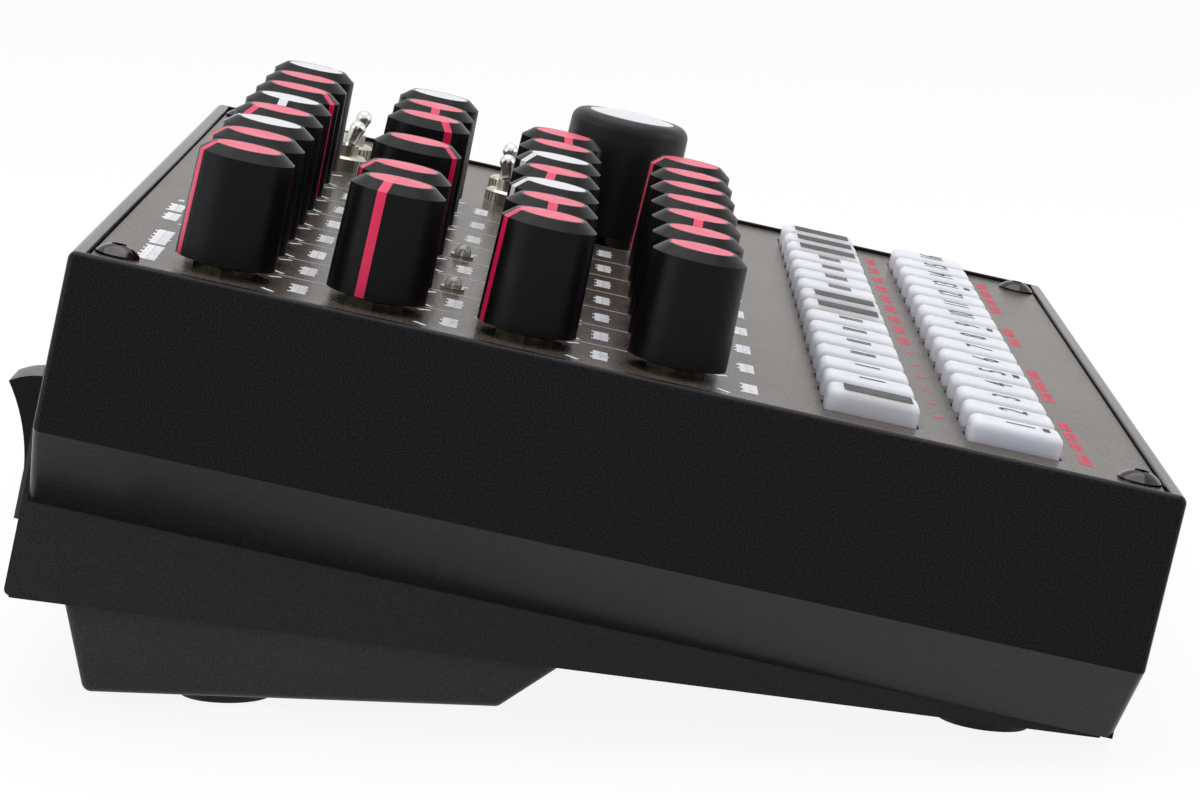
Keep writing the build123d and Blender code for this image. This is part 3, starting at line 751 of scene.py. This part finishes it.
@dataclass
class Knobs:
    """The pointer knobs with coloured inlays, and the large knob with its white cap."""

    look: Look
    white_inlays: tuple[str, ...] = ("knob_a3", "knob_a5", "knob_a8", "knob_b8", "knob_c3", "knob_c5")
    # Where a pointer is at the end of its turn, in degrees from the right
    turn_end: float = 240.0
    disc: float = 5.45 * MM
    stripe: float = 1.7 * MM
    inlay_depth: float = 0.7 * MM
    radius: float = 8.6 * MM
    taper: float = 0.8 * MM
    chamfer: float = 2.6 * MM
    bottom: float = 2.0 * MM
    top: float = 21.8 * MM
    cap: float = 8.75 * MM
    cap_height: float = 0.95 * MM
    large_top: float = 26.0 * MM
    # What a polygon's middle may be past an inlay's floor and past its edges
    floor_slack: float = 0.1 * MM
    edge_slack: float = 0.01 * MM

    def around(self, name: str) -> tuple[np.ndarray, np.ndarray, np.ndarray]:
        """Finds where a knob's polygons are.

        Args:
            name: The knob.

        Returns:
            How far right and rearward of the knob's middle they are, and how high off the panel.
        """
        middle = stand(name)
        spot = DECK.local(centres(frame["nodes"][name]))
        return spot[:, 0] - middle[0], middle[1] - spot[:, 1], spot[:, 2]

    def dress_small(self, name: str) -> None:
        """Dresses a pointer knob, whose inlay is told from its body by place.

        Args:
            name: The knob.
        """
        right, rearward, height = self.around(name)
        reach = np.hypot(right, rearward)
        way = math.radians(self.turn_end - JOINTS[name]["range_deg"][1])
        along = right * math.cos(way) + rearward * math.sin(way)
        aside = np.abs(rearward * math.cos(way) - right * math.sin(way))
        on_disc = (height > self.top - self.inlay_depth - self.floor_slack) & (reach < self.disc)
        in_stripe = (aside < self.stripe / 2 + self.edge_slack) & (along > 0)
        above_foot = height > self.bottom - self.edge_slack
        outside = (reach > self.radius - self.inlay_depth - self.taper) | (height > self.top - self.chamfer)
        ink = self.look.white if name in self.white_inlays else self.look.red
        dress(name, [self.look.knob, ink], on_disc | (in_stripe & above_foot & outside))

    def dress_large(self, name: str) -> None:
        """Dresses the large knob and its cap.

        Args:
            name: The knob.
        """
        right, rearward, height = self.around(name)
        on_cap = (np.hypot(right, rearward) < self.cap) & (height > self.large_top - self.cap_height)
        dress(name, [self.look.large_knob, self.look.white], on_cap)

    def build(self) -> None:
        """Dresses every knob."""
        for name in sorted(frame["nodes"]):
            if name == "knob_large":
                self.dress_large(name)
            elif name.startswith("knob_"):
                self.dress_small(name)


@dataclass
class Controls:
    """Potentiometer nuts, toggles and their bodies."""

    look: Look
    toggles: int = 4
    # The toggles stand to the right of this column, and the bodies lie below this height
    toggle_column: float = 7.5
    body_top: float = -4.0 * MM
    nut_radius: float = 5.0 * MM
    grip_foot: float = 0.35 * MM
    ridge: tuple[float, float, float] = (0.36 * MM, 0.5 * MM, 2.1 * MM)
    ridges: int = 30

    def build(self) -> None:
        """Dresses the plated fronts and the bodies under the panel, and knurls the toggles' nuts."""
        spot = DECK.local(centres(frame["nodes"]["panel_controls"]))
        of_toggle = spot[:, 0] > GRID.column(self.toggle_column)
        choice = np.where(spot[:, 2] < self.body_top, 2, np.where(of_toggle, 1, 0))
        # The pot nuts take the nickel that is painted near black for the shade under the knobs.
        dress("panel_controls", [self.look.nut, self.look.nickel, self.look.socket], choice)
        grip = Sheaf("toggle_nut_knurls", self.look.nickel, slot="plated_controls")
        for number in range(1, self.toggles + 1):
            lever = f"toggle_lever_{number}"
            dress(lever, [self.look.chrome])
            across, back, _ = stand(lever)
            for step in range(self.ridges):
                turn = math.tau * step / self.ridges
                middle = DECK.place(across, back, self.grip_foot, turn)
                grip.block(self.ridge, middle @ Matrix.Translation((self.nut_radius, 0.0, 0.0)))
        grip.finish()


@dataclass
class Keys:
    """The two rows of milky keys and what is printed on them."""

    look: Look
    count: int = 16
    pitch: float = 15.3 * MM
    top: float = 3.85 * MM
    film: float = 0.05 * MM
    figure_back: float = 162.6 * MM
    figure_size: float = 7.4 * MM
    beat: int = 4
    beat_back: float = 166.8 * MM
    beat_mark: tuple[float, float] = (3.4 * MM, 1.2 * MM)
    # Rear keys with a dark strip, and the last rear keys with one bar and with two
    strips: tuple[int, ...] = (1, 8, 9, 14, 15, 16)
    one_bar: int = 3
    two_bars: int = 7
    strip_back: float = 137.4 * MM
    strip: tuple[float, float] = (7.0 * MM, 11.9 * MM)
    bar_back: float = 137.2 * MM
    bar: tuple[float, float] = (0.95 * MM, 4.6 * MM)
    bar_pitch: float = 1.9 * MM

    def across(self, number: int) -> float:
        """Returns how far across a key stands, counted from 1."""
        return DECK.width / 2 + (number - 1 - (self.count - 1) / 2) * self.pitch

    def build(self) -> None:
        """Dresses the keys and prints their marks."""
        for number in range(1, self.count + 1):
            node = f"step_key_{number:02d}"
            across = self.across(number)
            dress(node, [self.look.key])
            marks = Sheaf(f"key_figure_{number:02d}", self.look.ink_dark, body=node, slot="key_plastic")
            place = DECK.place(across, self.figure_back, self.top)
            marks.text(str(number), self.figure_size, place, self.film)
            if number % self.beat == 1:
                marks.block((*self.beat_mark, self.film), DECK.place(across, self.beat_back, self.top))
            marks.finish()
        dress("function_keys", [self.look.key])
        self.print_functions()

    def print_functions(self) -> None:
        """Prints a dark strip on some of the rear keys and one to three plain bars on the others."""
        marks = Sheaf("function_key_marks", self.look.ink_dark, body="function_keys", slot="key_plastic")
        for number in range(1, self.count + 1):
            across = self.across(number)
            if number in self.strips:
                marks.block((*self.strip, self.film), DECK.place(across, self.strip_back, self.top))
                continue
            bars = 1 if number <= self.one_bar else 2 if number <= self.two_bars else 3
            for step in range(bars):
                shift = (step - (bars - 1) / 2) * self.bar_pitch
                marks.block((*self.bar, self.film), DECK.place(across + shift, self.bar_back, self.top))
        marks.finish()


@dataclass
class PanelPrint:
    """The marks printed on the control panel: labels, dividers, scale ticks and red notes."""

    look: Look
    keys: Keys
    film: float = 0.03 * MM

    # A word is a row of bars, each split half-way up, with its lower half a little narrower
    bar_width: float = 1.0 * MM
    bar_extra: float = 0.4 * MM
    bar_gap: float = 0.22 * MM
    bar_least: float = 0.5 * MM
    bar_split: float = 0.06 * MM
    short_bar: float = 0.86
    lower_half: float = 0.9

    label_depth: float = 3.1 * MM
    label_length: float = 9.6 * MM
    knob_label: float = 13.0 * MM
    toggle_label: float = 10.5 * MM
    large_label: float = 18.0 * MM

    divider: tuple[float, float] = (0.4 * MM, 9.4 * MM)
    dividers: int = 7
    divider_back: float = 13.3 * MM
    divider_shift: float = 0.2 * MM

    tick_reach: float = 11.9 * MM
    end_tick: tuple[float, float] = (0.8 * MM, 2.8 * MM)
    middle_tick: tuple[float, float] = (0.8 * MM, 1.2 * MM)
    end_angle: float = 135.0

    # Left end, right end, middle and depth of each white note along the rear edge, in mm
    rear_notes: tuple[tuple[float, float, float, float], ...] = (
        (15.0, 33.0, 11.3, 3.4),
        (35.5, 54.0, 11.0, 3.4),
        (69.0, 79.0, 9.8, 3.0),
        (82.0, 92.0, 9.4, 3.0),
        (97.0, 100.0, 9.2, 1.2),
        (128.0, 137.0, 9.4, 3.0),
        (152.0, 161.0, 9.4, 3.0),
        (176.0, 185.0, 9.4, 3.0),
        (200.0, 209.0, 9.4, 3.0),
    )

    # Red dots in front of some rear keys, and red notes in front of the others
    dotted_keys: tuple[int, ...] = (2, 3, 4, 5, 6, 7)
    dot_radius: float = 0.95 * MM
    dot_back: float = 149.8 * MM
    note_back: float = 149.3 * MM
    note_length: float = 9.2 * MM
    note_depth: float = 2.4 * MM

    # Left and right ends of each red note in front of the front keys, in mm
    front_back: float = 174.5 * MM
    front_notes: tuple[tuple[float, float], ...] = (
        (17.0, 28.0),
        (32.0, 41.0),
        (43.0, 52.0),
        (54.0, 62.0),
        (86.0, 97.0),
        (100.0, 111.0),
        (114.0, 125.0),
        (158.0, 169.0),
        (172.0, 182.5),
        (206.5, 217.0),
        (220.0, 229.0),
        (232.0, 242.0),
        (245.0, 254.0),
    )

    def build(self) -> None:
        """Dresses the panel and prints on it."""
        dress("front_panel", [self.look.panel])
        self.print_labels()
        self.print_dividers()
        self.print_ticks()
        self.print_rear_notes()
        self.print_red()

    def word(self, sheaf: Sheaf, across: float, back: float, length: float, depth: float, seed: int) -> None:
        """Adds a row of short bars that stands for a word.

        Args:
            sheaf: What the bars join.
            across: The row's left end.
            back: The row's middle.
            length: The row's length.
            depth: How tall the bars are.
            seed: Varies the widths of the bars.
        """
        reach, step = 0.0, 0
        while reach < length - self.bar_least:
            width = self.bar_width + self.bar_extra * ((seed * 7 + step * 5) % 4) / 3
            width = min(width, length - reach)
            tall = depth * (self.short_bar if (seed + step) % 3 else 1.0)
            place = DECK.place(across + reach + width / 2, back + (depth - tall) / 2)
            for side, share in ((1, 1.0), (-1, self.lower_half)):
                size = (width * share, tall / 2 - self.bar_split, self.film)
                sheaf.block(size, place @ Matrix.Translation((0.0, side * tall / 4, 0.0)))
            reach += width + self.bar_gap
            step += 1

    def print_labels(self) -> None:
        """Prints the white label in front of each knob and toggle."""
        marks = Sheaf("panel_labels", self.look.ink_white)
        names = [name for name in sorted(JOINTS) if name.startswith(("knob_", "toggle_"))]
        for seed, name in enumerate(names):
            gap = self.knob_label if name.startswith("knob_") else self.toggle_label
            if name == "knob_large":
                gap = self.large_label
            across, back, _ = stand(name)
            left = across - self.label_length / 2
            self.word(marks, left, back + gap, self.label_length, self.label_depth, seed)
        marks.finish()

    def print_dividers(self) -> None:
        """Prints the thin lines that part one label from the next."""
        marks = Sheaf("panel_dividers", self.look.ink_line)
        for row in GRID.rows[:3]:
            for index in range(self.dividers):
                across = GRID.column(index + 0.5) + self.divider_shift
                marks.block((*self.divider, self.film), DECK.place(across, row + self.divider_back))
        marks.finish()

    def print_ticks(self) -> None:
        """Prints the marks at the ends and the middle of each small knob's turn."""
        marks = Sheaf("panel_ticks", self.look.ink_white)
        for name in JOINTS:
            if not name.startswith("knob_") or name == "knob_large":
                continue
            across, back, _ = stand(name)
            for angle in (-self.end_angle, 0.0, self.end_angle):
                way = math.radians(angle)
                right, rearward = self.tick_reach * math.sin(way), self.tick_reach * math.cos(way)
                tick = self.end_tick if angle else self.middle_tick
                marks.block((*tick, self.film), DECK.place(across + right, back - rearward, turn=-way))
        marks.finish()

    def print_rear_notes(self) -> None:
        """Prints the white notes along the rear edge, over the rear fittings."""
        marks = Sheaf("panel_rear_notes", self.look.ink_white)
        for seed, (low, high, back, depth) in enumerate(self.rear_notes):
            self.word(marks, low * MM, back * MM, (high - low) * MM, depth * MM, seed)
        marks.finish()

    def print_red(self) -> None:
        """Prints the red notes between and in front of the key rows."""
        marks = Sheaf("panel_red_notes", self.look.ink_red)
        for number in self.dotted_keys:
            marks.disc(self.dot_radius, self.film, DECK.place(self.keys.across(number), self.dot_back))
        for number in range(self.dotted_keys[-1] + 1, self.keys.count + 1):
            left = self.keys.across(number) - self.note_length / 2
            self.word(marks, left, self.note_back, self.note_length, self.note_depth, number)
        for seed, (low, high) in enumerate(self.front_notes):
            self.word(marks, low * MM, self.front_back, (high - low) * MM, self.note_depth, seed)
        marks.finish()


@dataclass
class Board:
    """The circuit board, its switches and the two diodes."""

    look: Look
    lamp_radius: float = 2.3 * MM
    # The diodes' lenses and the switches lie above these heights
    lamp_foot: float = -4.1 * MM
    board_top: float = -11.4 * MM

    def build(self) -> None:
        """Dresses the board, the switches and the diodes by their place."""
        spot = DECK.local(centres(frame["nodes"]["control_board"]))
        lamp = np.zeros(len(spot), bool)
        for index in GRID.lamps:
            reach = np.hypot(spot[:, 0] - GRID.column(index), spot[:, 1] - GRID.lamp_back)
            lamp |= (reach < self.lamp_radius) & (spot[:, 2] > self.lamp_foot)
        choice = np.where(lamp, 2, np.where(spot[:, 2] > self.board_top, 1, 0))
        dress("control_board", [self.look.board, self.look.socket, self.look.clear], choice)


@dataclass
class RearFittings:
    """The power switch and the sockets of the rear wall."""

    look: Look
    height: float = -36.0 * MM
    # The jacks lie to the right of this place, and their plated fronts outside the wall
    jacks: float = 120.0 * MM
    front_slack: float = 0.1 * MM
    round_sockets: tuple[float, float] = (76.0 * MM, 100.0 * MM)
    shell: float = 9.1 * MM
    shell_depth: float = 7.9 * MM
    floor: float = 8.0 * MM

    # The insulating insert in a round socket, its key and its contacts
    insert: float = 5.0 * MM
    insert_length: float = 7.4 * MM
    insert_sides: int = 48
    insert_key: tuple[float, float] = (1.6 * MM, 1.3 * MM)
    key_reach: float = 5.4 * MM
    contacts: int = 5
    contact_angle: float = 45.0
    contact_circle: float = 3.4 * MM
    contact_outer: float = 0.8 * MM
    contact_inner: float = 0.5 * MM
    contact_height: float = 0.12 * MM

    def build(self) -> None:
        """Dresses the rocker, its housing and the sockets."""
        dress("power_rocker", [self.look.rocker])
        spot = DECK.local(centres(frame["nodes"]["rear_connectors"]))
        out = -spot[:, 1] - (DECK.wall_outer - DECK.depth / 2)
        metal = (spot[:, 0] > self.jacks) & (out > -self.front_slack)
        for across in self.round_sockets:
            near = np.hypot(spot[:, 0] - across, spot[:, 2] - self.height) < self.shell
            metal |= near & (out > -self.shell_depth)
        dress("rear_connectors", [self.look.socket, self.look.nickel], metal)
        self.fit_inserts()

    def fit_inserts(self) -> None:
        """Puts the insulating insert with its five contact holes into each round socket."""
        inserts = Sheaf("round_socket_inserts", self.look.socket, slot="socket_plastic")
        contacts = Sheaf("round_socket_contacts", self.look.nickel, slot="socket_plastic")
        for across in self.round_sockets:
            middle = DECK.rear(across, self.height, -self.floor)
            inserts.disc(self.insert, self.insert_length, middle, self.insert_sides)
            key = DECK.rear(across, self.height - self.key_reach, -self.floor)
            inserts.block((*self.insert_key, self.insert_length), key)
            for step in range(self.contacts):
                turn = math.radians(self.contact_angle * step)
                spot = DECK.rear(
                    across + self.contact_circle * math.cos(turn),
                    self.height + self.contact_circle * math.sin(turn),
                    self.insert_length - self.floor,
                )
                contacts.ring(self.contact_outer, self.contact_inner, self.contact_height, spot)
        inserts.finish()
        contacts.finish()


# ---------------------------------------------------------------- studio


@dataclass(frozen=True)
class Lamp:
    """One soft area light."""

    name: str
    place: tuple[float, float, float]
    aim: tuple[float, float, float]
    size: tuple[float, float]
    power: float

    def build(self) -> None:
        """Adds the light, aimed at its point."""
        data = bpy.data.lights.new(self.name, "AREA")
        data.shape = "RECTANGLE"
        data.size, data.size_y = self.size
        data.energy = self.power
        lamp = bpy.data.objects.new(self.name, data)
        lamp.location = self.place
        lamp.rotation_euler = (Vector(self.aim) - Vector(self.place)).to_track_quat("-Z", "Y").to_euler()
        bpy.context.scene.collection.objects.link(lamp)


@dataclass
class Studio:
    """Floor, world, lights and camera."""

    camera_offset: tuple[float, float, float] = (-0.867, 0.004009, 0.111702)
    camera_forward: tuple[float, float, float] = (0.9878, 0.00108, -0.15561)
    camera_up: tuple[float, float, float] = (0.1555, 0.0366, 0.9872)
    lens: float = 134.28
    sensor: float = 36.0
    near_clip: float = 0.02
    surround: float = 0.62
    floor_white: float = 0.9
    floor_colour: Colour = (0.86, 0.86, 0.86)
    floor_rough: float = 0.8
    floor_reach: float = 6.0
    lamps: tuple[Lamp, ...] = (
        Lamp("overhead_softbox", (0.1, 0.0, 1.3), (0.0, 0.0, 0.0), (1.3, 1.3), 12.0),
        Lamp("rear_softbox", (-0.5, 1.1, 0.45), (0.0, 0.0, 0.05), (0.9, 0.9), 4.0),
        Lamp("front_softbox", (-0.1, -1.2, 0.5), (0.0, 0.0, 0.05), (0.9, 0.9), 3.0),
    )

    def build(self) -> None:
        """Sets up everything that isn't the object."""
        self.set_camera()
        self.set_world()
        self.lay_floor()
        for lamp in self.lamps:
            lamp.build()
        settings = bpy.context.scene.view_settings
        settings.view_transform = "Standard"

    def set_camera(self) -> None:
        """Places the camera low at the case's left end."""
        forward = Vector(self.camera_forward).normalized()
        right = forward.cross(Vector(self.camera_up)).normalized()
        up = right.cross(forward)
        turn = Matrix((right, up, -forward)).transposed().to_4x4()
        data = bpy.data.cameras.new("camera")
        data.lens = self.lens
        data.sensor_width = self.sensor
        data.clip_start = self.near_clip
        camera = bpy.data.objects.new("camera", data)
        camera.matrix_world = Matrix.Translation(DECK.origin + Vector(self.camera_offset)) @ turn
        bpy.context.scene.collection.objects.link(camera)
        bpy.context.scene.camera = camera

    def seen(self, tree: Tree, share: float) -> Socket:
        """Finds how much of the plain white shows.

        Args:
            tree: Where the nodes go.
            share: How much of it the camera, mirrors and glass see.

        Returns:
            The share for those rays, and none for the others.
        """
        rays = put(tree, "ShaderNodeLightPath")
        shown = rays.outputs["Is Camera Ray"]
        for kind in ("Is Glossy Ray", "Is Transmission Ray"):
            either = put(tree, "ShaderNodeMath", operation="MAXIMUM")
            tree.links.new(shown, either.inputs[0])
            tree.links.new(rays.outputs[kind], either.inputs[1])
            shown = either.outputs[0]
        scaled = put(tree, "ShaderNodeMath", operation="MULTIPLY")
        scaled.inputs[1].default_value = share
        tree.links.new(shown, scaled.inputs[0])
        return scaled.outputs[0]

    def set_world(self) -> None:
        """Makes a white surround that gives an even soft light."""
        world = bpy.data.worlds.new("surround")
        bpy.context.scene.world = world
        world.use_nodes = True
        tree = world.node_tree
        tree.nodes.clear()
        soft = put(tree, "ShaderNodeBackground")
        plain = put(tree, "ShaderNodeBackground")
        for background, strength in ((soft, self.surround), (plain, 1.0)):
            background.inputs["Color"].default_value = (1.0, 1.0, 1.0, 1.0)
            background.inputs["Strength"].default_value = strength
        mix = put(tree, "ShaderNodeMixShader")
        tree.links.new(self.seen(tree, 1.0), mix.inputs["Fac"])
        tree.links.new(soft.outputs[0], mix.inputs[1])
        tree.links.new(plain.outputs[0], mix.inputs[2])
        tree.links.new(mix.outputs[0], put(tree, "ShaderNodeOutputWorld").inputs["Surface"])

    def lay_floor(self) -> None:
        """Lays a wide white floor that keeps the object's shadow."""
        shape = bmesh.new()
        bmesh.ops.create_grid(shape, x_segments=1, y_segments=1, size=self.floor_reach)
        data = bpy.data.meshes.new("floor")
        shape.to_mesh(data)
        shape.free()
        material = bpy.data.materials.new("floor_white")
        material.use_nodes = True
        tree = material.node_tree
        surface = tree.nodes["Principled BSDF"]
        surface.inputs["Base Color"].default_value = (*self.floor_colour, 1.0)
        surface.inputs["Roughness"].default_value = self.floor_rough
        glow = put(tree, "ShaderNodeEmission")
        mix = put(tree, "ShaderNodeMixShader")
        tree.links.new(self.seen(tree, self.floor_white), mix.inputs["Fac"])
        tree.links.new(surface.outputs[0], mix.inputs[1])
        tree.links.new(glow.outputs[0], mix.inputs[2])
        tree.links.new(mix.outputs[0], tree.nodes["Material Output"].inputs["Surface"])
        data.materials.append(material)
        floor = bpy.data.objects.new("floor", data)
        bpy.context.scene.collection.objects.link(floor)


def main() -> None:
    """Sets up the studio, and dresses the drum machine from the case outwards."""
    look = Look()
    keys = Keys(look)
    for part in (
        Studio(),
        CaseWork(look),
        PanelPrint(look, keys),
        Controls(look),
        Knobs(look),
        keys,
        Board(look),
        RearFittings(look),
    ):
        part.build()
        log.info("built %s", type(part).__name__)


if __name__ == "__main__":
    main()
